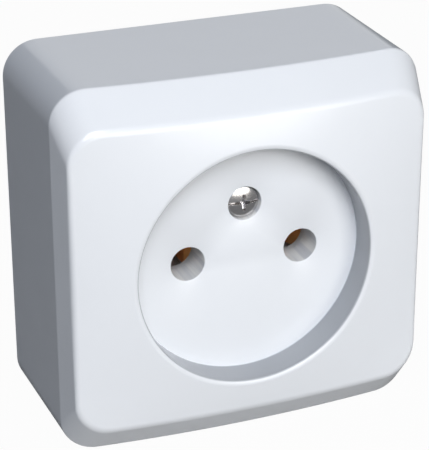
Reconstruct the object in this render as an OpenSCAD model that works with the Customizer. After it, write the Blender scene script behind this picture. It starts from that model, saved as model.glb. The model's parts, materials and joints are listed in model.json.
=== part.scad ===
// Surface mounted socket for two round pins, with a one-piece cover over a wall-fixed base.
// The solids are drawn with x to the right, y up and z out of the wall, and then stood upright.

/* [Cover outside] */
// Side of the square that the cover makes on the wall
cover_size = 61; // [57:0.5:70]
// How far each side leans in between the wall and the outer crease
cover_draft = 0.25; // [0.1:0.05:0.6]
// Radius of the four upright corners
corner_r = 5.7; // [4.5:0.1:8]
// Wall to the crown of the cushioned front
front_depth = 33.4; // [30:0.1:37]
// Fall from the crown to the outer crease, at the middle of the top and bottom
crease_fall = 7.6; // [7:0.1:8.4]
// How much nearer to the wall the outer crease is at the two sides
crease_bow = 2; // [1:0.1:3]
// Fall of the front from its crown to its left and right edges
side_fall = 4.3; // [3.4:0.1:5]
// Fall of the front from its crown to the middle of its top and bottom edges
end_fall = 2.6; // [2:0.1:3]
// Width of the steep bevels at the left and right
side_bevel = 1.1; // [0.8:0.1:2]
// Width of the broad bevels at the top and bottom
end_bevel = 5.4; // [4:0.1:6]
// Corner radius of the front
front_corner_r = 5.6; // [4.5:0.1:7]
// Length of the rounding on each side of the edge between front and bevels
front_rounding = 0.8; // [0.4:0.1:1.4]

/* [Cover walls] */
// Thickness of the outer walls and the front
wall = 2; // [1.6:0.1:2.4]
// Thickness of the wall round the plug recess
cup_wall = 1.8; // [1.4:0.1:2.2]
// Thickness of the recess floor
floor_t = 2; // [1.6:0.1:2.6]
// Thickness of the ribs between the recess and the outer walls
rib_t = 1.2; // [0.8:0.1:1.8]
// How far the guide ribs stand in from the outer walls
guide_rib = 1; // [0.6:0.1:1.4]
// Distance of each guide rib from the middle of its wall
guide_place = 13; // [10:0.5:17]
// Width of the thinned wall that is broken out for a cable
knockout_w = 15; // [10:0.5:16]
// Wall to the top of the thinned wall
knockout_h = 14; // [8:0.5:16]
// Thickness that is left in the thinned wall
knockout_web = 0.8; // [0.5:0.1:1]

/* [Plug recess] */
// Diameter of the recess
recess_d = 38.6; // [37:0.1:40]
// Fall from the crown of the front to the recess floor
floor_fall = 7.2; // [6.6:0.1:8]
// Width of the rounding at the mouth of the recess
mouth_round = 0.85; // [0.5:0.05:1.2]
// Depth of the rounding at the mouth of the recess
mouth_drop = 0.45; // [0.2:0.05:0.8]
// Distance between the two pin holes
pin_spacing = 19; // [18.5:0.1:20]
// Diameter of the pin holes
pin_hole_d = 5.6; // [5.2:0.1:5.8]
// Wall thickness of the collars behind the pin holes
collar_wall = 1.2; // [0.8:0.1:1.5]
// Height of the cover screw above the pin holes
screw_rise = 8.7; // [8.2:0.1:10]
// Diameter of the well that the screw head lies in
well_d = 5.5; // [5.4:0.1:6.4]
// Wall thickness of the boss round the screw well
boss_wall = 1.5; // [1:0.1:2]
// Depth of the screw well below the recess floor
well_depth = 3.4; // [3:0.1:3.8]

/* [Base] */
// Play between the base and the inside of the cover, at the wall
base_play = 0.4; // [0.3:0.05:0.8]
// Thickness of the base plate
base_t = 2.6; // [2.2:0.1:3.2]
// Thickness of the rim round the base
rim_t = 1.4; // [1:0.1:2]
// Wall to the top of the rim
rim_depth = 6; // [4.5:0.1:8]
// Distance between the two wall screws
fixing_spacing = 44; // [42.5:0.5:46]
// Width of the slots for the wall screws
slot_w = 4.4; // [3.6:0.1:5]
// Length of the slots for the wall screws
slot_l = 8.4; // [6:0.1:8.6]
// Width of the cable windows
window_w = 14; // [9:0.5:16]
// Height of the cable windows
window_h = 6.4; // [5:0.1:7]
// Distance of each cable window from the edge of the base
window_margin = 2.5; // [2:0.1:3]
// Thickness of the insulating strip let into the back
insulator_t = 0.8; // [0.5:0.1:1]

/* [Contacts] */
// Wall to the underside of the contact strips
strip_depth = 5.2; // [4.8:0.1:5.6]
// Thickness of the contact metal
strip_t = 0.8; // [0.6:0.1:0.9]
// Width of the contact strips
strip_w = 7; // [6:0.1:7.4]
// Width of the contact leaves
leaf_w = 7.6; // [5.6:0.1:8]
// How far the lips of the contacts lie under the guard
lip_drop = 0.4; // [0.3:0.05:0.8]
// Gap between the leaves where they grip the pin
grip_gap = 3.6; // [3.2:0.1:3.9]
// Gap between the lips of the leaves
lip_gap = 6; // [5.4:0.1:6.2]
// Gap between the recess floor and the guard over the contact towers
guard_gap = 3.3; // [2.6:0.1:4]
// Wall thickness of the contact towers
tower_wall = 1.3; // [1:0.1:1.6]
// Thickness of the guard over the towers
guard_t = 1; // [0.8:0.1:1.1]
// Thickness of the steel spring clips
clip_t = 0.5; // [0.4:0.05:0.6]
// Height of the steel spring clips along the pin
clip_h = 2; // [1.4:0.1:2.4]

/* [Screws] */
// Distance of each terminal above or below its pin hole
terminal_rise = 13.5; // [13:0.1:14.5]
// Thread diameter of the terminal screws
terminal_d = 3.5; // [3:0.1:4]
// Head diameter of the terminal screws
terminal_head_d = 6.4; // [5.6:0.1:6.8]
// Length of the terminal screws under the head
terminal_l = 5.4; // [5:0.1:5.6]
// Thickness of the clamp plates
clamp_t = 1.2; // [1:0.1:1.5]
// Thread diameter of the cover screw
cover_screw_d = 3; // [2.5:0.1:3.5]
// Head diameter of the cover screw
cover_head_d = 5.2; // [5:0.1:5.2]
// How far the top of the cover screw lies under the recess floor
head_sink = 0.3; // [0.1:0.05:1.2]
// Length of the cover screw under the head
cover_screw_l = 16; // [14:0.5:18]
// Side of the square nut
nut_size = 5.5; // [5:0.1:6]
// Thickness of the square nut
nut_t = 2.4; // [1.8:0.1:3]
// How far the cover screw reaches past its nut
nut_reach = 5.6; // [4:0.1:7]

/* [Hidden] */

$fn = 64;
// Clearances: a screw in its thread, a slide-in part, and parts that pass each other
thread_play = 0.05;
slide_play = 0.1;
pass_play = 0.2;
// Overshoot of a cut past the face that it leaves through
over = 1;

cover_half = cover_size / 2;
crease_half = cover_half - cover_draft;
front_half_w = crease_half - side_bevel;
front_half_h = crease_half - end_bevel;
crease_depth = front_depth - crease_fall;
floor_depth = front_depth - floor_fall;
recess_r = recess_d / 2;
pin_x = pin_spacing / 2;
pin_hole_r = pin_hole_d / 2;
floor_back = floor_depth - floor_t;
guard_depth = floor_back - guard_gap;
tower_depth = guard_depth - guard_t;
collar_end = guard_depth + pass_play;
well_bottom = floor_depth - well_depth;
screw_tip = well_bottom - cover_screw_l;
nut_depth = screw_tip + nut_reach;
screw_hole_r = cover_screw_d / 2 + pass_play;

base_half = cover_half - wall - base_play;
base_corner_r = corner_r - wall - base_play;
window_place = base_half - window_margin - window_h / 2;
strip_top = strip_depth + strip_t;
strip_l = 2 * terminal_rise + terminal_head_d + 1;
tapped_r = terminal_d / 2 + thread_play;
collar_r = tapped_r + strip_t;
collar_drop = 1.2;
rivet_r = 1.25;
rivet_head_r = 2.2;
rivet_head_t = 0.6;
rivet_tail_t = 0.5;
lip_depth = tower_depth - lip_drop;
clip_drop = 5.6;
clip_gap = 0.15;
inner_lean = 0.4;
clip_depth = lip_depth - clip_drop;
leaf_room = 0.5;
chamber_half = max(strip_w / 2, lip_gap / 2 + strip_t) + leaf_room;
tower_half_l = leaf_w / 2 + clip_t + 2 * slide_play + tower_wall;
tower_out = chamber_half + tower_wall;
skirt_gap = 0.2;
column_w = nut_size + 3.5;
clamp_w = strip_w + 2 * strip_t;
clamp_l = 7.4;
terminal_seat = strip_top + clamp_t;
insulator_w = pin_spacing + 10;
insulator_h = 10;

// Snap hook of the guard, and with play the window that it enters in the outer wall of a tower
hook_drop = 7.6;
hook_low = tower_depth - hook_drop;
hook_h = 1.4;
hook_reach = 0.8;
hook_w = 6;
leg_t = 1.2;

// Steps in each corner and along each straight edge of the lofted outlines
corner_steps = 8;
edge_steps = 10;
ring_points = 4 * (corner_steps + edge_steps);

// Height of the cushioned front over a point: straight left and right edges, bowed top and bottom ones
function front_at(x, y) =
    let (u = x / front_half_w, v = y / front_half_h)
    front_depth - side_fall * u * u - end_fall * v * v * (1 - u * u);

// Height of the outer crease, which bows like the front
function crease_at(x) = crease_depth - crease_bow * pow(x / crease_half, 2);

// Rounded rectangle, counter-clockwise, always with ring_points points
function outline(half_w, half_h, r) = [
    for (q = [0:3]) let (
        sx = (q == 0 || q == 3) ? 1 : -1,
        sy = q < 2 ? 1 : -1,
        tx = q < 2 ? -1 : 1,
        ty = (q == 0 || q == 3) ? 1 : -1,
        centre = [sx * (half_w - r), sy * (half_h - r)],
        next = [tx * (half_w - r), ty * (half_h - r)],
        edge_dir = r * [cos(90 * (q + 1)), sin(90 * (q + 1))]
    ) each concat(
        [for (k = [0:corner_steps]) let (turn = 90 * (q + k / corner_steps))
            centre + r * [cos(turn), sin(turn)]],
        [for (k = [1:edge_steps - 1]) let (s = k / edge_steps) edge_dir + (1 - s) * centre + s * next]
    )
];

function mix(a, b, s) = (1 - s) * a + s * b;
function mix_rings(a, b, s) = [for (i = [0:len(a) - 1]) mix(a[i], b[i], s)];

// Circle with one point in the direction of each point of an outline
function circle_like(points, r) = [for (p = points) r * [p.x, p.y] / norm([p.x, p.y])];

// An outline laid on the front surface, or a given depth under it
function on_front(points, drop = 0) = [for (p = points) [p.x, p.y, front_at(p.x, p.y) - drop]];

// Solid through a stack of rings, closed at both ends by a fan to a point on its axis
module loft(rings, top_height) {
    n = len(rings[0]);
    m = len(rings);
    points = concat([for (ring = rings) each ring], [[0, 0, rings[0][0].z], [0, 0, top_height]]);
    sides = [for (i = [0:m - 2], j = [0:n - 1]) let (
        a = i * n + j,
        b = i * n + (j + 1) % n,
        c = (i + 1) * n + (j + 1) % n,
        d = (i + 1) * n + j
    ) each [[a, d, c], [a, c, b]]];
    bottom = [for (j = [0:n - 1]) [j, (j + 1) % n, m * n]];
    top = [for (j = [0:n - 1]) [(m - 1) * n + (j + 1) % n, (m - 1) * n + j, m * n + 1]];
    polyhedron(points = points, faces = concat(sides, bottom, top));
}

// Stands a solid that was drawn flat on the wall upright, with the front towards -Y
module upright() rotate([90, 0, 0]) children();

// Both pins, or all four terminals, with the mirrored side turned over
module at_pins()
    for (side = [-1, 1]) translate([side * pin_x, 0, 0]) mirror([side < 0 ? 1 : 0, 0, 0]) children();
module at_terminals()
    at_pins() for (end = [-1, 1]) translate([0, end * terminal_rise, 0]) children();

// Block that is centred on its place in x and y
module block(w, h, low, high) translate([-w / 2, -h / 2, low]) cube([w, h, high - low]);
module rod(r, low, high) translate([0, 0, low]) cylinder(r = r, h = high - low);

// Rounded plate made of exact arcs
module plate(half_w, half_h, r, low, high) {
    block(2 * half_w, 2 * (half_h - r), low, high);
    block(2 * (half_w - r), 2 * half_h, low, high);
    for (sx = [-1, 1], sy = [-1, 1]) translate([sx * (half_w - r), sy * (half_h - r), 0]) rod(r, low, high);
}

// Outside of the cover: side walls, bevels, cushioned front and the rounded mouth of the recess
module cover_skin() {
    crease = [for (p = outline(crease_half, crease_half, corner_r)) [p.x, p.y, crease_at(p.x)]];
    edge = on_front(outline(front_half_w, front_half_h, front_corner_r));
    face_start = on_front(outline(front_half_w - front_rounding, front_half_h - front_rounding,
                                  front_corner_r - front_rounding / 2));
    bevel_end = [for (i = [0:ring_points - 1])
        mix(edge[i], crease[i], front_rounding / norm(crease[i] - edge[i]))];
    bulge = [for (i = [0:ring_points - 1]) (bevel_end[i] + 2 * edge[i] + face_start[i]) / 4];
    mouth = on_front(circle_like(edge, recess_r + mouth_round));
    half_way = [for (p = mix_rings(face_start, mouth, 0.5)) [p.x, p.y, front_at(p.x, p.y)]];
    function lead(turn) = on_front(circle_like(edge, recess_r + mouth_round * (1 - sin(turn))),
                                   mouth_drop * (1 - cos(turn)));
    inside = [for (p = circle_like(edge, recess_r - mouth_round)) [p.x, p.y, front_depth - side_fall]];
    back = [for (p = outline(cover_half, cover_half, corner_r)) [p.x, p.y, 0]];
    loft([back, crease, bevel_end, bulge, face_start, half_way, mouth, lead(30), lead(60), inside],
         front_depth - side_fall);
}

// Hollow of the cover: the outside moved in by the wall, square to each surface
module cover_hollow() {
    end_tilt = atan2(front_at(0, front_half_h) - crease_at(0), end_bevel);
    side_tilt = atan2(front_at(front_half_w, 0) - crease_at(crease_half), side_bevel);
    crease_in = crease_half - wall;
    low = outline(cover_half - wall, cover_half - wall, corner_r - wall);
    crease = [for (p = outline(crease_in, crease_in, corner_r - wall))
        [p.x, p.y, crease_at(p.x) - wall * tan((90 - end_tilt) / 2)]];
    edge_w = front_half_w - wall * tan(side_tilt / 2);
    edge_h = front_half_h - wall * tan(end_tilt / 2);
    edge = on_front(outline(edge_w, edge_h, front_corner_r - wall / 2), wall);
    half_way = [for (p = edge) [p.x / 2, p.y / 2, front_at(p.x / 2, p.y / 2) - wall]];
    loft([[for (p = low) [p.x, p.y, -over]], crease, edge, half_way], front_depth - wall);
}

// What stands inside the hollow: recess cup, pin collars, screw boss and ribs
module cover_inside() {
    rod(recess_r + cup_wall, floor_back, front_depth);
    at_pins() rod(pin_hole_r + collar_wall, collar_end, floor_depth);
    translate([0, screw_rise, 0]) rod(well_d / 2 + boss_wall, collar_end, floor_depth);
    block(pin_spacing, rib_t, collar_end + 1, floor_depth);
    translate([0, screw_rise / 2, 0]) block(rib_t, screw_rise, collar_end + 1, floor_depth);
    for (turn = [0:45:315]) rotate([0, 0, turn])
        translate([recess_r + cup_wall / 2, -rib_t / 2, floor_back])
            cube([cover_size, rib_t, front_depth - floor_back]);
    for (turn = [0:90:270], side = [-1, 1]) rotate([0, 0, turn])
        translate([cover_half - wall - guide_rib, side * guide_place - rib_t / 2, rim_depth + pass_play])
            cube([2 * guide_rib, rib_t, floor_back - rim_depth]);
}

// Thin places in the walls that are broken out for a cable
module cover_knockouts() {
    for (turn = [0:90:270]) rotate([0, 0, turn])
        translate([cover_half - wall - over, -knockout_w / 2, -over])
            cube([over + wall - knockout_web, knockout_w, knockout_h + over]);
}

module cover() color("#f0f3f7") upright() difference() {
    cover_skin();
    difference() {
        cover_hollow();
        cover_inside();
    }
    cover_knockouts();
    rod(recess_r, floor_depth, front_depth + over);
    at_pins() rod(pin_hole_r, collar_end - over, floor_depth + over);
    translate([0, screw_rise, 0]) {
        rod(well_d / 2, well_bottom, floor_depth + over);
        rod(screw_hole_r, collar_end - over, well_bottom + over);
    }
}

// Screw with a domed head, a combined slot and cross recess and a chamfered tip
module machine_screw(thread_r, length, head_r, head_h) {
    dome = head_r * 0.2;
    dome_r = (head_r * head_r + dome * dome) / (2 * dome);
    chamfer = thread_r / 4;
    difference() {
        rotate_extrude() polygon(concat(
            [[0, -length], [thread_r - chamfer, -length], [thread_r, -length + chamfer],
             [thread_r, 0], [head_r, 0]],
            [for (k = [0:6]) let (x = head_r * (1 - k / 6))
                [x, head_h - dome_r + sqrt(dome_r * dome_r - x * x)]]
        ));
        block(2 * head_r + over, head_r * 0.28, head_h * 0.55, head_h + over);
        intersection() {
            union() {
                block(head_r * 1.3, head_r * 0.34, 0, head_h + over);
                block(head_r * 0.34, head_r * 1.3, 0, head_h + over);
            }
            translate([0, 0, head_h * 0.2]) cylinder(r1 = head_r * 0.2, r2 = head_r * 0.75, h = head_h);
        }
    }
}

module cover_screw() color("#b9b4ac") upright() translate([0, screw_rise, well_bottom])
    machine_screw(cover_screw_d / 2, cover_screw_l, cover_head_d / 2, well_depth - head_sink);

module cover_nut() color("#c9c6bd") upright() translate([0, screw_rise, 0]) difference() {
    block(nut_size, nut_size, nut_depth, nut_depth + nut_t);
    rod(cover_screw_d / 2 + thread_play, nut_depth - over, nut_depth + nut_t + over);
}

// The tower round one contact, with its own outer side towards +x
module tower() {
    for (side = [-1, 1]) translate([side * (chamber_half + tower_wall / 2), 0, 0])
        block(tower_wall, 2 * tower_half_l, 0, tower_depth);
    for (side = [-1, 1], end = [-1, 1])
        translate([side * (chamber_half - 0.2), end * (tower_half_l - tower_wall / 2), 0])
            block(tower_wall, tower_wall, strip_top + slide_play, tower_depth);
}

// Column for the nut, open at its upper side so that the nut slides in
module nut_column_cut() translate([0, screw_rise, 0]) {
    pocket_w = nut_size + 2 * slide_play;
    rod(screw_hole_r, screw_tip - over, tower_depth + over);
    translate([0, column_w / 2, 0])
        block(pocket_w, pocket_w + column_w, nut_depth - slide_play, nut_depth + nut_t + slide_play);
}

module base() color("#d8d5cc") upright() difference() {
    union() {
        plate(base_half, base_half, base_corner_r, 0, base_t);
        difference() {
            plate(base_half, base_half, base_corner_r, 0, rim_depth);
            plate(base_half - rim_t, base_half - rim_t, base_corner_r - rim_t, 0, rim_depth + over);
            for (turn = [0, 90]) rotate([0, 0, turn])
                block(knockout_w, cover_size, base_t, rim_depth + over);
        }
        at_pins() {
            plate(strip_w / 2 + strip_t, strip_l / 2 + rib_t, rib_t, 0, strip_depth);
            tower();
        }
        translate([0, screw_rise, 0]) block(column_w, column_w, 0, tower_depth);
        block(2 * (pin_x - chamber_half) - tower_wall, rib_t, 0, nut_depth);
        for (side = [-1, 1]) translate([side * fixing_spacing / 2, 0, 0])
            plate(slot_l / 2 + rib_t, slot_w / 2 + 2 * rib_t, rib_t, 0, base_t + rib_t);
        for (end = [-1, 1]) translate([0, end * terminal_rise / 2, 0])
            block(2 * base_half - rim_t, rib_t, 0, strip_depth - rib_t);
    }
    for (side = [-1, 1]) translate([side * fixing_spacing / 2, 0, 0])
        plate(slot_l / 2, slot_w / 2, slot_w / 2 - 0.001, -over, base_t + rib_t + over);
    for (end = [-1, 1]) translate([0, end * window_place, 0])
        plate(window_w / 2, window_h / 2, rib_t, -over, strip_depth);
    nut_column_cut();
    at_terminals() {
        rod(terminal_d / 2 + pass_play, insulator_t + slide_play, strip_depth + over);
        rod(collar_r + slide_play, strip_depth - collar_drop - slide_play, strip_depth + over);
    }
    at_pins() {
        rod(rivet_r + slide_play, 0, strip_depth + over);
        rod(rivet_head_r + slide_play, -over, insulator_t + rivet_tail_t);
        translate([tower_out - tower_wall / 2, 0, 0])
            block(tower_wall + 2 * over, hook_w + 2 * pass_play,
                  hook_low - pass_play, hook_low + hook_h + pass_play);
    }
    plate(insulator_w / 2 + slide_play, insulator_h / 2 + slide_play, rib_t + slide_play,
          -over, insulator_t);
}

module insulating_strip() color("#8d8577") upright()
    plate(insulator_w / 2, insulator_h / 2, rib_t, 0, insulator_t - slide_play / 2);

// Lid over both towers, with skirts at their open sides, a lobe over the nut column and two snap hooks
module contact_guard() color("#c4c8c9") upright() difference() {
    leg_x = tower_out + slide_play;
    union() {
        plate(pin_x + leg_x + leg_t, tower_half_l + skirt_gap + rib_t, rib_t, tower_depth, guard_depth);
        translate([0, screw_rise, 0]) rod(column_w / 2 + rib_t / 2, tower_depth, guard_depth);
        at_pins() {
            for (end = [-1, 1]) translate([0, end * (tower_half_l + skirt_gap + rib_t / 2), 0])
                block(2 * chamber_half, rib_t, strip_top + 2 * rib_t, guard_depth);
            translate([0, hook_w / 2, 0]) rotate([90, 0, 0]) linear_extrude(hook_w) polygon([
                [leg_x, tower_depth], [leg_x + leg_t, tower_depth], [leg_x + leg_t, hook_low],
                [leg_x, hook_low], [leg_x - hook_reach, hook_low + hook_h / 2],
                [leg_x - hook_reach, hook_low + hook_h], [leg_x, hook_low + hook_h]
            ]);
        }
    }
    at_pins() rod(pin_hole_r + pass_play, tower_depth - over, guard_depth + over);
    translate([0, screw_rise, 0]) rod(screw_hole_r, tower_depth - over, guard_depth + over);
}

// Outline of a bent sheet of even thickness, from the points of its middle line
function unit(v) = v / norm(v);
function left_of(v) = [-v.y, v.x];
function corner_normal(path, i) =
    let (n = len(path),
         a = left_of(unit(path[max(i, 1)] - path[max(i, 1) - 1])),
         b = left_of(unit(path[min(i, n - 2) + 1] - path[min(i, n - 2)])))
    (a + b) / (1 + a * b);
function sheet_outline(path, t) = concat(
    [for (i = [0:len(path) - 1]) path[i] + corner_normal(path, i) * t / 2],
    [for (i = [len(path) - 1:-1:0]) path[i] - corner_normal(path, i) * t / 2]
);

// Quarter bend of a sheet between two directions, as points of its middle line
function bend(centre, r, from, to, steps) =
    [for (k = [0:steps]) let (turn = mix(from, to, k / steps)) centre + r * [cos(turn), sin(turn)]];

// Contact of the right pin: a long strip with a tapped collar at each end, and two leaves that grip
// the pin. The inner leaf is straight with a short lip, and the outer one bows in to the pin and
// flares out to a long lip.
module contact() {
    foot_half = strip_w / 2 - strip_t / 2;
    bend_r = strip_t;
    foot = strip_depth + strip_t / 2;
    grip = (grip_gap + strip_t) / 2;
    lip = (lip_gap + strip_t) / 2;
    reach = lip_depth - foot;
    path = concat(
        [[-lip, lip_depth], [-grip - inner_lean, lip_depth - 1.5 * strip_t],
         [-grip - inner_lean - 0.1, foot + 0.3 * reach]],
        bend([-foot_half + bend_r, foot + bend_r], bend_r, 180, 270, 4),
        bend([foot_half - bend_r, foot + bend_r], bend_r, 270, 360, 4),
        [[foot_half, foot + 0.22 * reach], [grip, foot + 0.55 * reach], [grip, foot + 0.78 * reach],
         [lip, lip_depth]]
    );
    difference() {
        union() {
            translate([0, leaf_w / 2, 0]) rotate([90, 0, 0]) linear_extrude(leaf_w)
                polygon(sheet_outline(path, strip_t));
            block(strip_w - 2 * bend_r, strip_l, strip_depth, strip_top);
            for (end = [-1, 1]) translate([0, end * (leaf_w / 2 + (strip_l - leaf_w) / 4 + strip_t / 2), 0])
                block(strip_w, (strip_l - leaf_w) / 2 - strip_t, strip_depth, strip_top);
            for (end = [-1, 1]) translate([0, end * terminal_rise, 0])
                rod(collar_r, strip_depth - collar_drop, strip_top);
        }
        for (end = [-1, 1]) translate([0, end * terminal_rise, 0])
            rod(tapped_r, strip_depth - collar_drop - over, strip_top + over);
        rod(rivet_r + slide_play, strip_depth - over, strip_top + over);
    }
}

// Steel clip round both leaves, open at the lower side
module contact_spring() {
    grip = (grip_gap + strip_t) / 2;
    inner = grip + inner_lean + strip_t / 2 + clip_gap;
    outer = grip + strip_t / 2 + clip_gap;
    back = leaf_w / 2 + slide_play + clip_t / 2;
    bend_r = clip_t;
    path = concat(
        [[outer + clip_t / 2, -leaf_w / 2]],
        bend([outer + clip_t / 2 - bend_r, back - bend_r], bend_r, 0, 90, 4),
        bend([-inner - clip_t / 2 + bend_r, back - bend_r], bend_r, 90, 180, 4),
        [[-inner - clip_t / 2, -leaf_w / 2]]
    );
    translate([0, 0, clip_depth]) linear_extrude(clip_h) polygon(sheet_outline(path, clip_t));
}

// Tubular rivet, headed on the strip and rolled over in the back of the base
module rivet() {
    bore_r = rivet_r * 0.55;
    tail = insulator_t + slide_play;
    rotate_extrude() polygon([
        [bore_r, tail], [rivet_head_r - slide_play, tail], [rivet_head_r, insulator_t + rivet_tail_t],
        [rivet_r, insulator_t + rivet_tail_t], [rivet_r, strip_top], [rivet_head_r, strip_top],
        [rivet_head_r - rivet_head_t / 2, strip_top + rivet_head_t], [bore_r, strip_top + rivet_head_t]
    ]);
}

// Saddle plate that presses the wires on the strip, with its edges turned down past the strip
module clamp() {
    edge = clamp_w / 2;
    lip = strip_w / 2 + slide_play;
    drop = strip_t - slide_play;
    difference() {
        translate([0, clamp_l / 2, strip_top]) rotate([90, 0, 0]) linear_extrude(clamp_l) polygon([
            [-edge, -drop], [-lip, -drop], [-lip, 0], [lip, 0], [lip, -drop], [edge, -drop],
            [edge, clamp_t * 0.6], [edge - clamp_t * 0.4, clamp_t], [-edge + clamp_t * 0.4, clamp_t],
            [-edge, clamp_t * 0.6]
        ]);
        rod(terminal_d / 2 + pass_play, strip_top - over, terminal_seat + over);
    }
}

module terminal_screw() translate([0, 0, terminal_seat])
    machine_screw(terminal_d / 2, terminal_l, terminal_head_d / 2, 2.2);

// Puts a part of the right pin at either pin, mirrored for the left one, and upright
module at_side(side, end = 0) upright() translate([side * pin_x, end * terminal_rise, 0])
    mirror([side < 0 ? 1 : 0, 0, 0]) children();

module left_contact() color("#c8803c") at_side(-1) contact();
module right_contact() color("#c8803c") at_side(1) contact();
module left_contact_spring() color("#8f9296") at_side(-1) contact_spring();
module right_contact_spring() color("#8f9296") at_side(1) contact_spring();
module left_rivet() color("#c9b26b") at_side(-1) rivet();
module right_rivet() color("#c9b26b") at_side(1) rivet();
module left_upper_clamp() color("#b7babd") at_side(-1, 1) clamp();
module left_lower_clamp() color("#b7babd") at_side(-1, -1) clamp();
module right_upper_clamp() color("#b7babd") at_side(1, 1) clamp();
module right_lower_clamp() color("#b7babd") at_side(1, -1) clamp();
module left_upper_screw() color("#c3c0b6") at_side(-1, 1) terminal_screw();
module left_lower_screw() color("#c3c0b6") at_side(-1, -1) terminal_screw();
module right_upper_screw() color("#c3c0b6") at_side(1, 1) terminal_screw();
module right_lower_screw() color("#c3c0b6") at_side(1, -1) terminal_screw();

cover();
cover_screw();
base();
contact_guard();
cover_nut();
insulating_strip();
left_contact();
right_contact();
left_contact_spring();
right_contact_spring();
left_rivet();
right_rivet();
left_upper_clamp();
left_lower_clamp();
right_upper_clamp();
right_lower_clamp();
left_upper_screw();
left_lower_screw();
right_upper_screw();
right_lower_screw();
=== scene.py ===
"""Looks of the surface mounted socket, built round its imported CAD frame.

Lengths are in metres in the row's frame: +X to the right, +Y into the wall, +Z up, with the front towards -Y.
A depth is a distance out of the wall, so a point at depth d has y = -d.
"""

import json
import math

import bmesh
import bpy
import numpy as np
from mathutils import Matrix, Vector
from mathutils.geometry import delaunay_2d_cdt


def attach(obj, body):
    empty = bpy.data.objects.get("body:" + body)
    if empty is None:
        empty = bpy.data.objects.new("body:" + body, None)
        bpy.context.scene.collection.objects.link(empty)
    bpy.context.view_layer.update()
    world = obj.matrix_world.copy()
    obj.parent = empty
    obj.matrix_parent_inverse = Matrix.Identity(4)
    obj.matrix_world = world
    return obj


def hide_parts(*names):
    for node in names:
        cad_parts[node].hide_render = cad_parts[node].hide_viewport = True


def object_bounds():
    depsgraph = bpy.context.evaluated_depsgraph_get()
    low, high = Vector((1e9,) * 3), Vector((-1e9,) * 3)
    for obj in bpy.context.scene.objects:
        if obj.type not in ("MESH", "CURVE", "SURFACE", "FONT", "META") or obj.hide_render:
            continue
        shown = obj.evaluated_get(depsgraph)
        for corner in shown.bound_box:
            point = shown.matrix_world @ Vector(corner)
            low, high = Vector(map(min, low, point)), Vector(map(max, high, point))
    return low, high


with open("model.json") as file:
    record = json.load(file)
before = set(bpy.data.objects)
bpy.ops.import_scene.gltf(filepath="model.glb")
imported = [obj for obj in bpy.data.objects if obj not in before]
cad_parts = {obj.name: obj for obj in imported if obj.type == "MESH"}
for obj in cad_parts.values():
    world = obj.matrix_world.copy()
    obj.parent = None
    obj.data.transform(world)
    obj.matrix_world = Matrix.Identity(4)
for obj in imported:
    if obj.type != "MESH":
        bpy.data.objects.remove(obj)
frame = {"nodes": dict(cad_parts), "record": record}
cad_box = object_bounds()

MM = 0.001

# The cover's sizes, as the CAD has them
BACK_HALF = 30.5 * MM
CREASE_HALF = 30.25 * MM
FRONT_HALF_W = 29.15 * MM
FRONT_HALF_H = 24.85 * MM
CORNER_R = 5.7 * MM
FRONT_CORNER_R = 5.6 * MM
CREASE_DEPTH = 25.8 * MM
CREASE_BOW = 2.0 * MM
FRONT_DEPTH = 33.4 * MM
SIDE_FALL = 4.3 * MM
END_FALL = 2.6 * MM
FRONT_ROUNDING = 0.85 * MM
CREASE_ROUNDING = 0.3 * MM
WALL = 2.0 * MM
FLOOR_DEPTH = 26.2 * MM
FLOOR_BACK = 24.2 * MM
RECESS_R = 19.3 * MM
CUP_R = 21.1 * MM
MOUTH_ROUND = 0.85 * MM
MOUTH_DROP = 0.45 * MM
PIN_X = 9.5 * MM
PIN_R = 2.8 * MM
COLLAR_R = 4.0 * MM
COLLAR_END = 21.1 * MM
SCREW_Z = 8.7 * MM
WELL_R = 2.75 * MM
WELL_BOTTOM = 22.8 * MM
SCREW_HOLE_R = 1.7 * MM
BOSS_R = 4.25 * MM
RIB_T = 1.2 * MM
GUIDE_RIB = 1.0 * MM
GUIDE_PLACE = 13.0 * MM
GUIDE_START = 6.2 * MM
KNOCKOUT_HALF = 7.5 * MM
KNOCKOUT_DEPTH = 14.0 * MM
KNOCKOUT_WEB = 0.8 * MM

# The cover screw's head
HEAD_R = 2.6 * MM
HEAD_TOP = 25.95 * MM
SHANK_R = 1.5 * MM
SHANK_END = 6.8 * MM

HEAD_DOME = 0.42 * MM
SLOT_HALF = 0.17 * MM
SLOT_DEPTH = 0.5 * MM
CROSS_HALF = 0.3 * MM
CROSS_REACH = 1.3 * MM
CROSS_DEPTH = 1.5 * MM
EDGE_SOFT = 0.03 * MM

HEAD_RINGS = 90
HEAD_TURNS = 240
CORNER_STEPS = 28
HOLE_STEPS = 96


# Camera: place and angles come from a fit to the edges in the photo

CAMERA_PLACE = (-0.1006, -0.26641, 0.12002)
CAMERA_AZIMUTH = -21.69
CAMERA_ELEVATION = 23.82
CAMERA_ROLL = -0.12
CAMERA_LENS = 146.59


def make_camera():
    """Camera at the photo's place, turned by azimuth, elevation and a small roll about its own axis."""
    azimuth, elevation, roll = (math.radians(a) for a in (CAMERA_AZIMUTH, CAMERA_ELEVATION, CAMERA_ROLL))
    back = Vector((math.sin(azimuth) * math.cos(elevation), -math.cos(azimuth) * math.cos(elevation),
                   math.sin(elevation)))
    level = Vector((0, 0, 1)).cross(back).normalized()
    above = back.cross(level)
    right = level * math.cos(roll) + above * math.sin(roll)
    up = above * math.cos(roll) - level * math.sin(roll)
    turn = Matrix((right, up, back)).transposed().to_4x4()
    data = bpy.data.cameras.new("camera")
    data.lens = CAMERA_LENS
    data.sensor_width = 36.0
    data.clip_start = 0.01
    camera = bpy.data.objects.new("camera", data)
    camera.matrix_world = Matrix.Translation(CAMERA_PLACE) @ turn
    bpy.context.scene.collection.objects.link(camera)
    bpy.context.scene.camera = camera


make_camera()


# Meshes made of rings

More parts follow.
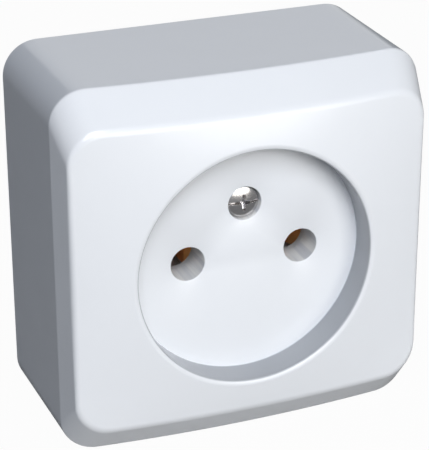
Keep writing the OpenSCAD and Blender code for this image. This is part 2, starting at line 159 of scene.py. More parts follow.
class Surface:
    """Gathers patches of points and faces, and makes one smooth mesh of them."""

    def __init__(self):
        self.points = []
        self.faces = []
        self.count = 0

    def add(self, points, faces):
        """Adds points (n, 3) and faces (m, 3 or 4), whose indices start at 0 in this patch."""
        self.points.append(np.asarray(points, dtype=float))
        self.faces.extend((np.asarray(faces) + self.count).tolist())
        self.count += len(points)

    def loft(self, rings):
        """Quads between closed rings of equally many points.
        Corner j of ring i joins corner j + 1 of ring i and both of ring i + 1, in the order that faces outwards where
        the rings run counter-clockwise seen from the front and move to the front on an outside wall."""
        rings = np.stack(rings)
        rows, n = rings.shape[:2]
        i, j = np.meshgrid(np.arange(rows - 1), np.arange(n), indexing="ij")
        following = (j + 1) % n
        quads = np.stack([i * n + j, i * n + following, (i + 1) * n + following, (i + 1) * n + j], axis=-1)
        self.add(rings.reshape(-1, 3), quads.reshape(-1, 4))

    def cap(self, outer, holes, facing_front=True):
        """Flat face inside the ring outer and outside the rings in holes, cut into Delaunay triangles."""
        loops = [outer, *holes]
        flat = np.concatenate(loops)
        starts = np.cumsum([0] + [len(loop) for loop in loops])
        edges = [(int(a) + k, int(a) + (k + 1) % len(loop)) for a, loop in zip(starts, loops)
                 for k in range(len(loop))]
        found = delaunay_2d_cdt([Vector((p[0], p[2])) for p in flat], edges, [], 1, 1e-7)
        points, faces = found[0], [f for f in found[2] if len(f) == 3]
        middles = np.array([[sum(points[k][a] for k in f) / 3 for a in (0, 1)] for f in faces])
        keep = np.ones(len(faces), dtype=bool)
        for hole in holes:
            centre = hole[:, (0, 2)].mean(axis=0)
            radius = np.linalg.norm(hole[0, (0, 2)] - centre)
            keep &= np.linalg.norm(middles - centre, axis=1) > radius * 0.999
        chosen = [f if facing_front else f[::-1] for f, k in zip(faces, keep) if k]
        self.add([(p[0], outer[0][1], p[1]) for p in points], chosen)

    def prism(self, profile, thickness, place):
        """Closed plate of that thickness, whose outline is a convex profile of (along, depth) points.
        place(along, across, depth) gives each corner's point."""
        n = len(profile)
        corners = [place(a, side * thickness / 2, d) for side in (-1, 1) for a, d in profile]
        order = list(range(n))
        mesh = [order[::-1], [n + k for k in order]]
        walls = [[k, (k + 1) % n, n + (k + 1) % n, n + k] for k in order]
        self.points.append(np.array(corners))
        self.faces.extend([[self.count + k for k in f] for f in mesh + walls])
        self.count += 2 * n

    def build(self, name, weld=1e-6, sharp_angle=40.0):
        """Makes the object: near points are welded, and edges sharper than sharp_angle degrees stay sharp."""
        mesh = bpy.data.meshes.new(name)
        mesh.from_pydata(np.concatenate(self.points).tolist(), [], self.faces)
        work = bmesh.new()
        work.from_mesh(mesh)
        bmesh.ops.remove_doubles(work, verts=work.verts, dist=weld)
        bmesh.ops.dissolve_degenerate(work, edges=work.edges, dist=weld / 10)
        for face in work.faces:
            face.smooth = True
        for edge in work.edges:
            if len(edge.link_faces) == 2 and edge.calc_face_angle(0) > math.radians(sharp_angle):
                edge.smooth = False
        work.to_mesh(mesh)
        work.free()
        piece = bpy.data.objects.new(name, mesh)
        bpy.context.scene.collection.objects.link(piece)
        return piece


def circle(radius, depth, centre=(0.0, 0.0), steps=HOLE_STEPS):
    """Circle of a radius round centre (x, z) at a depth, counter-clockwise seen from the front."""
    turn = np.linspace(0, 2 * math.pi, steps, endpoint=False)
    return np.column_stack([centre[0] + radius * np.cos(turn), np.full(steps, -depth), centre[1] + radius * np.sin(turn)])


def edge_shares():
    """Places of the points along a straight edge, from 1 to -1, with close pairs at the sides of the knock-out."""
    mark = KNOCKOUT_HALF / (BACK_HALF - CORNER_R)
    gap = 0.002
    outer = np.linspace(1, mark + gap, 15)
    middle = np.linspace(mark - gap, -mark + gap, 16)
    return np.concatenate([outer, middle, -outer[::-1]])[1:-1]


EDGE_SHARES = edge_shares()


def outline(half_w, half_h, radius):
    """Rounded rectangle as (x, z) points, counter-clockwise: a quarter circle at each corner, then the straight edge
    to the next corner, with the same number of points whatever the size."""
    parts = []
    for quarter in range(4):
        sign_x = 1 if quarter in (0, 3) else -1
        sign_z = 1 if quarter < 2 else -1
        centre = np.array([sign_x * (half_w - radius), sign_z * (half_h - radius)])
        turn = math.pi / 2 * (quarter + np.linspace(0, 1, CORNER_STEPS + 1))
        parts.append(centre + radius * np.column_stack([np.cos(turn), np.sin(turn)]))
        shares = EDGE_SHARES[:, None]
        if quarter % 2 == 0:
            edge = np.hstack([shares * sign_x * (half_w - radius), np.full_like(shares, sign_z * half_h)])
        else:
            edge = np.hstack([np.full_like(shares, sign_x * half_w), shares * sign_z * (half_h - radius)])
        parts.append(edge)
    return np.concatenate(parts)


def raised(flat, depth):
    """Ring of (x, z) points at a depth, or at one depth for each point."""
    return np.column_stack([flat[:, 0], np.broadcast_to(-np.asarray(depth), len(flat)), flat[:, 1]])


def front_depth(flat):
    """Cushioned front: the crown's depth, less a share of u squared and one of v squared that fades towards the left
    and right edges, with u and v from -1 to 1 across the front."""
    u2 = (flat[:, 0] / FRONT_HALF_W) ** 2
    v2 = (flat[:, 1] / FRONT_HALF_H) ** 2
    return FRONT_DEPTH - SIDE_FALL * u2 - END_FALL * v2 * (1 - u2)


def crease_depth(flat):
    """Outer crease: nearest to the wall at the two sides, with the square of x."""
    return CREASE_DEPTH - CREASE_BOW * (flat[:, 0] / CREASE_HALF) ** 2


def circle_like(flat, radius):
    """Circle with one point in the direction of each point of an outline."""
    return flat * (radius / np.linalg.norm(flat, axis=1))[:, None]


def rounded(before, corner, after, length, steps):
    """Rings of a rounding at a crease: a quadratic curve from length before the corner ring to length after it, with a
    support ring just outside each end so that the shading stays on the curve."""
    to_before = before - corner
    to_after = after - corner
    start = corner + to_before * (length / np.linalg.norm(to_before, axis=1))[:, None]
    end = corner + to_after * (length / np.linalg.norm(to_after, axis=1))[:, None]
    rings = [corner + (start - corner) * 1.12]
    for s in np.linspace(0, 1, steps + 1):
        rings.append((1 - s) ** 2 * start + 2 * s * (1 - s) * corner + s ** 2 * end)
    rings.append(corner + (end - corner) * 1.12)
    return rings


def between(first, last, steps):
    """Rings evenly spaced between two rings, without the two."""
    return [first + (last - first) * s for s in np.linspace(0, 1, steps + 2)[1:-1]]


def outside_rings():
    """Rings of the cover's outside, from its edge on the wall over the side, the bevel and the front to the mouth, and
    down the wall of the recess to its floor."""
    rim = raised(outline(BACK_HALF, BACK_HALF, CORNER_R), 0.0)
    crease_flat = outline(CREASE_HALF, CREASE_HALF, CORNER_R)
    crease = raised(crease_flat, crease_depth(crease_flat))
    edge_flat = outline(FRONT_HALF_W, FRONT_HALF_H, FRONT_CORNER_R)
    edge = raised(edge_flat, front_depth(edge_flat))
    inner_flat = outline(FRONT_HALF_W - 2 * FRONT_ROUNDING, FRONT_HALF_H - 2 * FRONT_ROUNDING,
                         FRONT_CORNER_R - FRONT_ROUNDING)
    inner = raised(inner_flat, front_depth(inner_flat))
    lead_flat = circle_like(edge_flat, RECESS_R + MOUTH_ROUND)
    mouth_flat = circle_like(edge_flat, RECESS_R + MOUTH_ROUND * 1.1)

    rings = [rim + (crease - rim) * 0.004]
    rings += between(rim, crease, 6)
    rings += rounded(rim, crease, edge, CREASE_ROUNDING, 6)
    rings += rounded(crease, edge, inner, FRONT_ROUNDING, 10)
    for share in np.linspace(0, 1, 22)[1:-1]:
        flat = inner_flat + (mouth_flat - inner_flat) * share
        rings.append(raised(flat, front_depth(flat)))
    rings.append(raised(mouth_flat, front_depth(mouth_flat)))
    for turn in np.linspace(0, math.pi / 2, 13):
        flat = circle_like(edge_flat, RECESS_R + MOUTH_ROUND * (1 - math.sin(turn)))
        rings.append(raised(flat, front_depth(lead_flat) - MOUTH_DROP * (1 - math.cos(turn))))
    wall_flat = circle_like(edge_flat, RECESS_R)
    top = rings[-1]
    foot = raised(wall_flat, FLOOR_DEPTH)
    for share in (0.02, 0.25, 0.5, 0.75, 0.96, 0.99):
        rings.append(top + (foot - top) * share)
    rings += [foot]
    return rings


def knocked_out(flat):
    """The inside outline, moved out to the thin web where a cable hole is knocked out."""
    moved = flat.copy()
    near = KNOCKOUT_HALF + 0.01 * MM
    web = BACK_HALF - KNOCKOUT_WEB
    half = BACK_HALF - WALL
    for along, across in ((0, 1), (1, 0)):
        in_pocket = (np.abs(flat[:, along]) < near) & (np.abs(flat[:, across]) > half - 0.4 * MM)
        moved[in_pocket, across] = np.sign(flat[in_pocket, across]) * web
    return moved


def inside_rings():
    """Rings of the cover's inside, from the back of the recess floor up the cup, over the inside of the front and
    down the inner walls to the edge on the wall."""
    edge_flat = outline(FRONT_HALF_W, FRONT_HALF_H, FRONT_CORNER_R)
    end_tilt = math.atan2(FRONT_DEPTH - END_FALL - CREASE_DEPTH, CREASE_HALF - FRONT_HALF_H)
    side_tilt = math.atan2(FRONT_DEPTH - SIDE_FALL - CREASE_DEPTH + CREASE_BOW, CREASE_HALF - FRONT_HALF_W)
    ceiling_flat = outline(FRONT_HALF_W - WALL * math.tan(side_tilt / 2), FRONT_HALF_H - WALL * math.tan(end_tilt / 2),
                           FRONT_CORNER_R - WALL / 2)
    ceiling = raised(ceiling_flat, front_depth(ceiling_flat) - WALL)
    crease_in = CREASE_HALF - WALL
    crease_flat = outline(crease_in, crease_in, CORNER_R - WALL)
    shelf = WALL * math.tan((math.pi / 2 - end_tilt) / 2)
    crease = raised(crease_flat, crease_depth(crease_flat) - shelf)
    rim_flat = outline(BACK_HALF - WALL, BACK_HALF - WALL, CORNER_R - WALL)
    rim = raised(rim_flat, 0.0)
    cup_flat = circle_like(edge_flat, CUP_R)
    cup_top = raised(cup_flat, front_depth(cup_flat) - WALL)
    cup_foot = raised(cup_flat, FLOOR_BACK)

    rings = [cup_foot] + between(cup_foot, cup_top, 3) + [cup_top]
    for share in np.linspace(0, 1, 8)[1:-1]:
        flat = cup_flat + (ceiling_flat - cup_flat) * share
        rings.append(raised(flat, front_depth(flat) - WALL))
    rings += rounded(cup_top, ceiling, crease, 0.5 * MM, 4)
    rings += rounded(ceiling, crease, rim, 0.3 * MM, 4)
    above = KNOCKOUT_DEPTH + 0.02 * MM
    wall_at = lambda depth: crease_flat + (rim_flat - crease_flat) * ((CREASE_DEPTH - depth) / CREASE_DEPTH)
    rings += [raised(wall_at(above), above)]
    pocket = knocked_out(wall_at(KNOCKOUT_DEPTH))
    rings += [raised(pocket, KNOCKOUT_DEPTH), raised(knocked_out(rim_flat), 0.1 * MM), raised(knocked_out(rim_flat), 0.0)]
    return rings


def hole_profiles():
    """Centre and profile, as (radius, depth) pairs from the recess floor back, of both pin holes and the screw well."""
    chamfer = 0.12 * MM
    pin = [(PIN_R + chamfer, FLOOR_DEPTH), (PIN_R + chamfer / 3, FLOOR_DEPTH - chamfer / 3), (PIN_R, FLOOR_DEPTH - chamfer),
           (PIN_R, COLLAR_END + chamfer), (PIN_R + chamfer, COLLAR_END), (COLLAR_R, COLLAR_END), (COLLAR_R, FLOOR_BACK)]
    well = [(WELL_R + chamfer, FLOOR_DEPTH), (WELL_R + chamfer / 3, FLOOR_DEPTH - chamfer / 3),
            (WELL_R, FLOOR_DEPTH - chamfer), (WELL_R, WELL_BOTTOM), (SCREW_HOLE_R, WELL_BOTTOM),
            (SCREW_HOLE_R, COLLAR_END), (BOSS_R, COLLAR_END), (BOSS_R, FLOOR_BACK)]
    return [((-PIN_X, 0.0), pin), ((PIN_X, 0.0), pin), ((0.0, SCREW_Z), well)]


def add_ribs(surface, outside):
    """Plates between the cup and the outer walls, between the collars, and the guide ribs on the inner walls.
    Their ends are sunk a little into the walls that carry them."""
    crease_flat = outline(CREASE_HALF, CREASE_HALF, CORNER_R)
    edge_flat = outline(FRONT_HALF_W, FRONT_HALF_H, FRONT_CORNER_R)
    sink = 0.6 * MM
    for step in range(8):
        angle = step * math.pi / 4
        along = np.array([math.cos(angle), math.sin(angle)])

        def nearest(flat):
            lengths = np.linalg.norm(flat, axis=1)
            k = int(np.argmax(flat @ along / lengths))
            return lengths[k], flat[k:k + 1]

        crease_r, crease_point = nearest(crease_flat)
        edge_r, edge_point = nearest(edge_flat)
        start_r = CUP_R - sink
        start_top = float(front_depth((along * start_r)[None])[0]) - sink
        edge_top = float(front_depth(edge_point)[0]) - 2 * sink
        end_top = max(float(crease_depth(crease_point)[0]) - sink, FLOOR_BACK + sink)
        profile = [(start_r, FLOOR_BACK), (crease_r - 2 * sink, FLOOR_BACK), (crease_r - 2 * sink, end_top),
                   (edge_r - 2 * sink, edge_top), (start_r, start_top)]
        surface.prism(profile, RIB_T, lambda a, c, d, u=along: (a * u[0] - c * u[1], -d, a * u[1] + c * u[0]))
    low = COLLAR_END + 1.0 * MM
    gap = COLLAR_R - sink
    half_bar = [(-PIN_X + gap, low), (PIN_X - gap, low), (PIN_X - gap, FLOOR_BACK + sink), (-PIN_X + gap, FLOOR_BACK + sink)]
    surface.prism(half_bar, RIB_T, lambda a, c, d: (a, -d, c))
    post = [(0.0, low), (SCREW_Z - BOSS_R + sink, low), (SCREW_Z - BOSS_R + sink, FLOOR_BACK + sink),
            (0.0, FLOOR_BACK + sink)]
    surface.prism(post, RIB_T, lambda a, c, d: (c, -d, a))
    inner = BACK_HALF - WALL
    guide = [(inner - GUIDE_RIB, GUIDE_START), (inner + sink, GUIDE_START), (inner + sink, FLOOR_BACK - 0.8 * MM),
             (inner - GUIDE_RIB, FLOOR_BACK - 0.8 * MM)]
    for quarter in range(4):
        cos, sin = round(math.cos(quarter * math.pi / 2)), round(math.sin(quarter * math.pi / 2))
        for side in (-1, 1):
            surface.prism(guide, RIB_T, lambda a, c, d, s=side: (
                a * cos - (c + s * GUIDE_PLACE) * sin, -d, a * sin + (c + s * GUIDE_PLACE) * cos))


def make_cover():
    """The whole cover: one skin over outside, recess and inside, the holes in its floor, and the ribs."""
    surface = Surface()
    outside = outside_rings()
    surface.loft(inside_rings() + outside)
    floor_holes, back_holes = [], []
    for centre, profile in hole_profiles():
        rings = [circle(r, d, centre) for r, d in profile]
        surface.loft(rings)
        floor_holes.append(rings[0])
        back_holes.append(rings[-1])
    surface.cap(outside[-1], floor_holes)
    surface.cap(inside_rings()[0], back_holes, facing_front=False)
    add_ribs(surface, outside)
    piece = surface.build("cover_shell")
    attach(piece, "cover")
    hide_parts("cover")
    return piece



def make_screw_head():
    """The cover screw: a domed head whose height over the plane is a dome less a slot and a tapered cross recess, then
    the head's edge, its seat, the shank and a chamfered tip."""
    surface = Surface()
    turn = np.linspace(0, 2 * math.pi, HEAD_TURNS, endpoint=False)
    radius = HEAD_R * np.concatenate([[0.0], np.linspace(0.01, 0.93, HEAD_RINGS)])
    r, t = np.meshgrid(radius, turn, indexing="ij")
    x, z = r * np.cos(t), r * np.sin(t)
    depth = head_depth(x, z)
    grid = np.stack([x, -depth, z + SCREW_Z], axis=-1)
    rim_r = np.array([0.955, 0.98, 0.995, 1.0, 1.0]) * HEAD_R
    rim_d = HEAD_TOP - HEAD_DOME - np.array([0.0, 0.03, 0.1, 0.2, 0.9]) * MM
    body_r = np.array([HEAD_R, SHANK_R, SHANK_R, SHANK_R, SHANK_R * 0.75])
    body_d = np.array([WELL_BOTTOM, WELL_BOTTOM, WELL_BOTTOM - 0.1 * MM, SHANK_END + SHANK_R * 0.3, SHANK_END])
    rings = [grid[k] for k in range(1, len(radius))]
    rings += [circle(a, b, (0.0, SCREW_Z), HEAD_TURNS) for a, b in zip(rim_r, rim_d)]
    rings += [circle(a, b, (0.0, SCREW_Z), HEAD_TURNS) for a, b in zip(body_r, body_d)]
    surface.loft([ring[::-1] for ring in rings])
    fan = np.stack([np.zeros(HEAD_TURNS, int), np.arange(1, HEAD_TURNS + 1),
                    np.roll(np.arange(1, HEAD_TURNS + 1), -1)], axis=-1)
    surface.add(np.vstack([grid[0, :1], grid[1]]), fan)
    surface.add(np.vstack([[(0.0, -SHANK_END, SCREW_Z)], rings[-1]]), fan[:, ::-1])
    piece = surface.build("cover_screw_turned", sharp_angle=50.0)
    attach(piece, "cover_screw")
    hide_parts("cover_screw")
    return piece


def soft_step(value, width):
    """0 below -width, 1 above width, and a smooth cubic between."""
    s = np.clip(value / (2 * width) + 0.5, 0, 1)
    return s * s * (3 - 2 * s)


def head_depth(x, z):
    """Depth of the head's face at (x, z) from its axis: a parabolic dome, with a straight slot of even depth across it
    and a cross whose arms narrow and whose floor rises towards their ends."""
    r = np.hypot(x, z)
    dome = HEAD_TOP - HEAD_DOME * (r / HEAD_R) ** 2
    slot = soft_step(SLOT_HALF - np.abs(z), EDGE_SOFT)
    arm = np.minimum(np.abs(x), np.abs(z))
    along = np.maximum(np.abs(x), np.abs(z))
    arm_half = CROSS_HALF * (1 - 0.35 * along / CROSS_REACH)
    cross = soft_step(arm_half - arm, EDGE_SOFT) * soft_step(CROSS_REACH - along, EDGE_SOFT)
    cross_depth = CROSS_DEPTH * (1 - 0.6 * np.clip(along / CROSS_REACH, 0, 1))
    return dome - np.maximum(SLOT_DEPTH * slot, cross_depth * cross)


cover = make_cover()
screw = make_screw_head()


# Shader maths

class Socket:
    """A shader output that Python's operators turn into Math nodes."""

    def __init__(self, shader, socket):
        self.shader = shader
        self.socket = socket

    def math(self, operation, *values):
        node = self.shader.node("ShaderNodeMath", {"operation": operation}, dict(enumerate([self, *values])))
        return Socket(self.shader, node.outputs[0])

    def __add__(self, other):
        return self.math("ADD", other)

    def __mul__(self, other):
        return self.math("MULTIPLY", other)

    def __sub__(self, other):
        return self.math("SUBTRACT", other)

    def __rsub__(self, other):
        return (self * -1.0) + other

    def __pow__(self, other):
        return self.math("POWER", other)

    def __abs__(self):
        return self.math("ABSOLUTE")

    __radd__ = __add__
    __rmul__ = __mul__

    def ramp(self, low, high):
        """0 up to low, 1 from high, and a smooth step between."""
        node = self.shader.node("ShaderNodeMapRange", {"interpolation_type": "SMOOTHSTEP"},
                                {"Value": self, "From Min": low, "From Max": high})
        return Socket(self.shader, node.outputs[0])


class Shader:
    """A material with one Principled shader, whose constant values are set on the shader's own sockets."""

    def __init__(self, name, **constants):
        self.material = bpy.data.materials.new(name)
        self.material.use_nodes = True
        self.tree = self.material.node_tree
        self.bsdf = self.tree.nodes["Principled BSDF"]
        for key, value in constants.items():
            self.bsdf.inputs[key.replace("_", " ")].default_value = value
        self.place = Socket(self, self.node("ShaderNodeTexCoord").outputs["Object"])

    def node(self, kind, settings=None, values=None):
        """Any node, with its settings first and then the values or links of its sockets."""
        node = self.tree.nodes.new(kind)
        for key, value in (settings or {}).items():
            setattr(node, key, value)
        for key, value in (values or {}).items():
            if isinstance(value, Socket):
                self.tree.links.new(value.socket, node.inputs[key])
            else:
                node.inputs[key].default_value = value
        return node

    def noise(self, scale, detail=3.0, stretch=(1.0, 1.0, 1.0), shift=(0.0, 0.0, 0.0)):
        """Noise from 0 to 1 with about scale features a metre, stretched by a Mapping node."""
        mapping = self.node("ShaderNodeMapping", {}, {"Vector": self.place, "Scale": stretch, "Location": shift})
        node = self.node("ShaderNodeTexNoise", {}, {"Vector": Socket(self, mapping.outputs[0]), "Scale": scale,
                                                    "Detail": detail})
        return Socket(self, node.outputs[0])

    def blend(self, share, first, second):
        """Colour that goes from first to second with share."""
        node = self.node("ShaderNodeMix", {"data_type": "RGBA"}, {0: share})
        for index, colour in ((6, first), (7, second)):
            if isinstance(colour, Socket):
                self.tree.links.new(colour.socket, node.inputs[index])
            else:
                node.inputs[index].default_value = (*colour, 1.0)
        return Socket(self, node.outputs[2])

    def axes(self):
        """The three object coordinates."""
        node = self.node("ShaderNodeSeparateXYZ", {}, {0: self.place})
        return [Socket(self, output) for output in node.outputs]

    def link(self, name, socket):
        """Feeds a socket of the Principled shader."""
        self.tree.links.new(socket.socket, self.bsdf.inputs[name])

    def bump(self, height, distance, strength=1.0):
        """Bump from a height between 0 and 1, where 1 stands distance metres proud."""
        node = self.node("ShaderNodeBump", {}, {"Height": height, "Distance": distance, "Strength": strength})
        self.link("Normal", Socket(self, node.outputs[0]))


def cover_plastic():
    """Polished white moulding: faint cloudiness of colour and gloss, a very fine orange peel, painted shade as a grey
    tone on the upright wall of the plug recess, and painted shade in the pin holes and the screw well, with lighter
    streaks along the depth as painted sheen."""
    shader = Shader("cover_plastic", IOR=1.5)
    cloud = shader.noise(120.0)
    fine = shader.noise(1800.0, 2.0)
    x, y, z = shader.axes()
    radius = (x * x + z * z) ** 0.5
    # Mask of the recess's upright wall, whose colour goes over to a painted shade that stands in for the shade falling
    # in the recess.
    inward = radius.ramp(RECESS_R + MOUTH_ROUND * 0.35, RECESS_R + MOUTH_ROUND * 0.05)
    wall = inward * y.ramp(-FLOOR_DEPTH, -FLOOR_DEPTH - 0.4 * MM)
    white = shader.blend(cloud, (0.765, 0.785, 0.82), (0.785, 0.805, 0.84))
    # Painted shade in the pin holes and the screw well: mid greys, with lighter streaks along the depth as painted
    # sheen.
    streaks = shader.noise(1300.0, 2.0, stretch=(1.0, 0.04, 1.0)).ramp(0.3, 0.7)
    bore_painted_shade = shader.blend(streaks, (0.52, 0.53, 0.56), (0.68, 0.68, 0.67))
    aside = abs(x) - PIN_X
    rise = z - SCREW_Z
    pin = ((aside * aside + z * z) ** 0.5).ramp(PIN_R + 0.25 * MM, PIN_R + 0.1 * MM)
    well = ((x * x + rise * rise) ** 0.5).ramp(WELL_R + 0.25 * MM, WELL_R + 0.1 * MM)
    under = y.ramp(-FLOOR_DEPTH, 0.1 * MM - FLOOR_DEPTH)
    bore = pin.math("MAXIMUM", well) * under
    # White, then the recess wall's painted shade, then the bores' painted shade with its streaks of painted sheen.
    shader.link("Base Color", shader.blend(bore, shader.blend(wall, white, RECESS_WALL_PAINTED_SHADE), bore_painted_shade))
    shader.link("Roughness", cloud * 0.06 + fine * 0.04 + 0.16)
    shader.bump(fine, 0.002 * MM, 0.5)
    return shader.material


# Painted shade: the grey that the recess's upright wall takes in place of the shade that falls there.
RECESS_WALL_PAINTED_SHADE = (0.4, 0.415, 0.44)


def matt_plastic(name, dark, light, grain):
    """Matt moulding with a spark-eroded grain, fine specks and slow clouds of colour."""
    shader = Shader(name, IOR=1.48)
    grainy = shader.noise(grain, 4.0)
    cloud = shader.noise(90.0)
    specks = shader.noise(grain * 0.8, 1.0, shift=(3.0, 1.0, 2.0)).ramp(0.62, 0.75)
    shader.link("Base Color", shader.blend(cloud * 0.6 + specks * 0.3, dark, light))
    shader.link("Roughness", grainy * 0.2 + 0.42)
    shader.bump(grainy, 0.02 * MM, 0.6)
    return shader.material


def fibre_board():
    """Pressed fibre: short strands along X in two browns, with a rough felted surface."""
    shader = Shader("insulator", IOR=1.4)
    strands = shader.noise(2500.0, 4.0, stretch=(0.15, 1.0, 1.0))
    cloud = shader.noise(300.0)
    shader.link("Base Color", shader.blend(strands * 0.7 + cloud * 0.3, (0.2, 0.15, 0.1), (0.46, 0.37, 0.27)))
    shader.link("Roughness", strands * 0.2 + 0.65)
    shader.bump(strands, 0.03 * MM, 0.8)
    return shader.material


def metal(name, colour, stain, stain_share, gloss, streak_stretch, streak_height, metallic=1.0):
    """Plated or rolled metal: drawing streaks along one axis, stains of a darker colour and uneven gloss."""
    shader = Shader(name, Metallic=metallic)
    streaks = shader.noise(3000.0, 3.0, stretch=streak_stretch)
    stains = shader.noise(420.0, 5.0).ramp(0.45, 0.75) * stain_share
    shader.link("Base Color", shader.blend(stains + streaks * 0.12, colour, stain))
    shader.link("Roughness", streaks * 0.12 + stains * 0.25 + gloss)
    shader.bump(streaks, streak_height, 0.7)
    return shader.material


def turned_steel():
    """Bright plated screw head: turning rings round its own axis, light scuffs and uneven gloss."""
    shader = Shader("polished_steel", Metallic=1.0)
    x, _, z = shader.axes()
    up = z - SCREW_Z
    radius = (x * x + up * up) ** 0.5
    rings = (radius * (2 * math.pi / (0.09 * MM))).math("SINE") * 0.5 + 0.5
    scuffs = shader.noise(2600.0, 4.0, stretch=(0.3, 1.0, 1.0)).ramp(0.5, 0.8)
    shader.link("Base Color", shader.blend(scuffs * 0.5, (0.6, 0.58, 0.57), (0.44, 0.42, 0.4)))
    shader.link("Roughness", scuffs * 0.12 + rings * 0.05 + 0.15)
    shader.bump(rings * 0.6 + scuffs * 0.4, 0.002 * MM, 0.5)
    return shader.material


def paint():
    """Gives every piece and every carried-over node the material of its slot."""
    along_depth = (1.0, 0.08, 1.0)
    along_strip = (1.0, 1.0, 0.08)
    zinc = metal("plated_steel", (0.66, 0.65, 0.61), (0.4, 0.38, 0.34), 0.5, 0.25, along_depth, 0.006 * MM)
    copper = metal("copper_alloy", (0.95, 0.48, 0.17), (0.62, 0.27, 0.12), 0.5, 0.35, along_strip, 0.004 * MM, 0.5)
    brass = metal("brass", (0.78, 0.6, 0.28), (0.42, 0.28, 0.12), 0.5, 0.24, along_depth, 0.004 * MM)
    spring = metal("spring_steel", (0.3, 0.31, 0.34), (0.16, 0.14, 0.14), 0.6, 0.28, along_strip, 0.004 * MM)
    materials = {
        "cover_plastic": cover_plastic(),
        "base_plastic": matt_plastic("base_plastic", (0.62, 0.61, 0.57), (0.74, 0.73, 0.69), 1500.0),
        "guard_plastic": matt_plastic("guard_plastic", (0.5, 0.52, 0.53), (0.62, 0.64, 0.65), 1900.0),
        "insulator": fibre_board(),
        "polished_steel": turned_steel(),
        "plated_steel": zinc,
        "copper_alloy": copper,
        "brass": brass,
        "spring_steel": spring,
    }
    cover.data.materials.append(materials["cover_plastic"])
    screw.data.materials.append(materials["polished_steel"])
    for part in frame["record"]["subparts"]:
        node = frame["nodes"][part["node"]]
        for slot in node.material_slots:
            slot.material = materials[part["material_slot"]]


paint()


# Stage and lights

def make_floor():
    """Wide pale floor just under the socket. Camera rays mostly see plain white, and the rest keeps its shadow."""
    size = 6.0
    low = float(cad_box[0][2]) - 0.02 * MM
    mesh = bpy.data.meshes.new("floor")
    corners = [(-size, -size, low), (size, -size, low), (size, size, low), (-size, size, low)]
    mesh.from_pydata(corners, [], [(0, 1, 2, 3)])
    floor = bpy.data.objects.new("floor", mesh)
    bpy.context.scene.collection.objects.link(floor)
    shader = Shader("floor", Base_Color=(0.3, 0.3, 0.3, 1.0), Roughness=0.9)
    ray = shader.node("ShaderNodeLightPath")
    seen = Socket(shader, ray.outputs["Is Camera Ray"]) * FLOOR_WHITE
    white = shader.node("ShaderNodeEmission", {}, {"Color": (1.0, 1.0, 1.0, 1.0), "Strength": 1.0})
    mix = shader.node("ShaderNodeMixShader", {}, {0: seen, 1: Socket(shader, shader.bsdf.outputs[0]),
                                                  2: Socket(shader, white.outputs[0])})
    output = next(n for n in shader.tree.nodes if n.type == "OUTPUT_MATERIAL")
    shader.tree.links.new(mix.outputs[0], output.inputs["Surface"])
    mesh.materials.append(shader.material)


def softbox(name, azimuth, elevation, distance, size, level, colour=(1.0, 1.0, 1.0)):
    """Square area light aimed at the socket from an azimuth (0 is straight in front, positive to the right) and an
    elevation. A white surface that faces it renders at level."""
    a, e = math.radians(azimuth), math.radians(elevation)
    towards = Vector((math.sin(a) * math.cos(e), -math.cos(a) * math.cos(e), math.sin(e)))
    data = bpy.data.lights.new(name, "AREA")
    data.size = size
    data.energy = level * math.pi ** 2 * distance ** 2
    data.color = colour
    lamp = bpy.data.objects.new(name, data)
    lamp.matrix_world = Matrix.Translation(towards * distance + Vector(MIDDLE)) @ towards.to_track_quat("Z", "Y").to_matrix().to_4x4()
    bpy.context.scene.collection.objects.link(lamp)


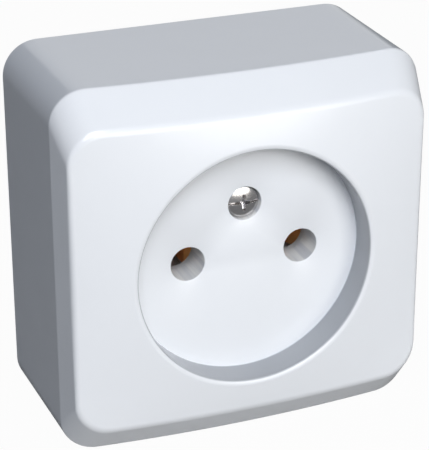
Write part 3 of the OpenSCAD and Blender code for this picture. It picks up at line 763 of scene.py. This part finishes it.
def make_world():
    """Pale surroundings: white for camera rays, bright in front of the socket and darker behind it for the rest."""
    world = bpy.data.worlds.new("studio")
    bpy.context.scene.world = world
    world.use_nodes = True
    tree = world.node_tree
    tree.nodes.clear()

    def add(kind, settings=None, links=None):
        node = tree.nodes.new(kind)
        for key, value in (settings or {}).items():
            setattr(node, key, value)
        for key, value in (links or {}).items():
            if isinstance(value, bpy.types.NodeSocket):
                tree.links.new(value, node.inputs[key])
            else:
                node.inputs[key].default_value = value
        return node

    place = add("ShaderNodeTexCoord")
    split = add("ShaderNodeSeparateXYZ", None, {0: place.outputs["Generated"]})
    ramp = add("ShaderNodeMapRange", {"interpolation_type": "SMOOTHSTEP"},
               {"Value": split.outputs["Y"], "From Min": 0.1, "From Max": -0.6, "To Min": WORLD_BACK,
                "To Max": WORLD_FRONT})
    low_band = add("ShaderNodeMapRange", {"interpolation_type": "SMOOTHSTEP"},
                   {"Value": split.outputs["Z"], "From Min": -0.05, "From Max": -0.2})
    white_floor = add("ShaderNodeMapRange", {"interpolation_type": "SMOOTHSTEP"},
                      {"Value": split.outputs["Z"], "From Min": -0.45, "From Max": -0.6, "To Min": 1.0, "To Max": 0.0})
    left = add("ShaderNodeMapRange", {"interpolation_type": "SMOOTHSTEP"},
               {"Value": split.outputs["X"], "From Min": 0.28, "From Max": 0.05})
    right = add("ShaderNodeMapRange", {"interpolation_type": "SMOOTHSTEP"},
                {"Value": split.outputs["X"], "From Min": 0.38, "From Max": 0.6, "To Min": 1.0, "To Max": 0.35})
    band = add("ShaderNodeMath", {"operation": "MULTIPLY"}, {0: low_band.outputs[0], 1: white_floor.outputs[0]})
    band = add("ShaderNodeMath", {"operation": "MULTIPLY"}, {0: band.outputs[0], 1: left.outputs[0]})
    band = add("ShaderNodeMapRange", None, {"Value": band.outputs[0], "To Min": 1.0, "To Max": 0.12})
    band = add("ShaderNodeMath", {"operation": "MULTIPLY"}, {0: band.outputs[0], 1: right.outputs[0]})
    studio = add("ShaderNodeMath", {"operation": "MULTIPLY"}, {0: band.outputs[0], 1: ramp.outputs[0]})
    ray = add("ShaderNodeLightPath")
    glossy = add("ShaderNodeMix", None, {0: ray.outputs["Is Glossy Ray"], 2: WORLD_FILL, 3: studio.outputs[0]})
    strength = add("ShaderNodeMix", None, {0: ray.outputs["Is Camera Ray"], 2: glossy.outputs[0], 3: 1.0})
    tint = add("ShaderNodeMix", {"data_type": "RGBA"},
               {0: ray.outputs["Is Camera Ray"], 6: WORLD_TINT, 7: (1.0, 1.0, 1.0, 1.0)})
    background = add("ShaderNodeBackground", None, {"Color": tint.outputs[2], "Strength": strength.outputs[0]})
    output = add("ShaderNodeOutputWorld", None, {"Surface": background.outputs[0]})
    return output


MIDDLE = (0.0, -0.016, 0.0)
FLOOR_WHITE = 0.97
WORLD_FILL = 0.075
WORLD_TINT = (0.8, 0.93, 1.15, 1.0)
WORLD_FRONT = 0.9
WORLD_BACK = 0.1

make_floor()
make_world()
softbox("key", azimuth=-14, elevation=38, distance=0.9, size=0.45, level=0.67, colour=(0.965, 0.995, 1.05))
softbox("front_fill", azimuth=14, elevation=8, distance=0.9, size=0.6, level=0.61, colour=(1.03, 1.0, 0.93))
softbox("back_fill", azimuth=165, elevation=15, distance=0.9, size=0.6, level=0.12)

bpy.context.scene.view_settings.view_transform = "Standard"
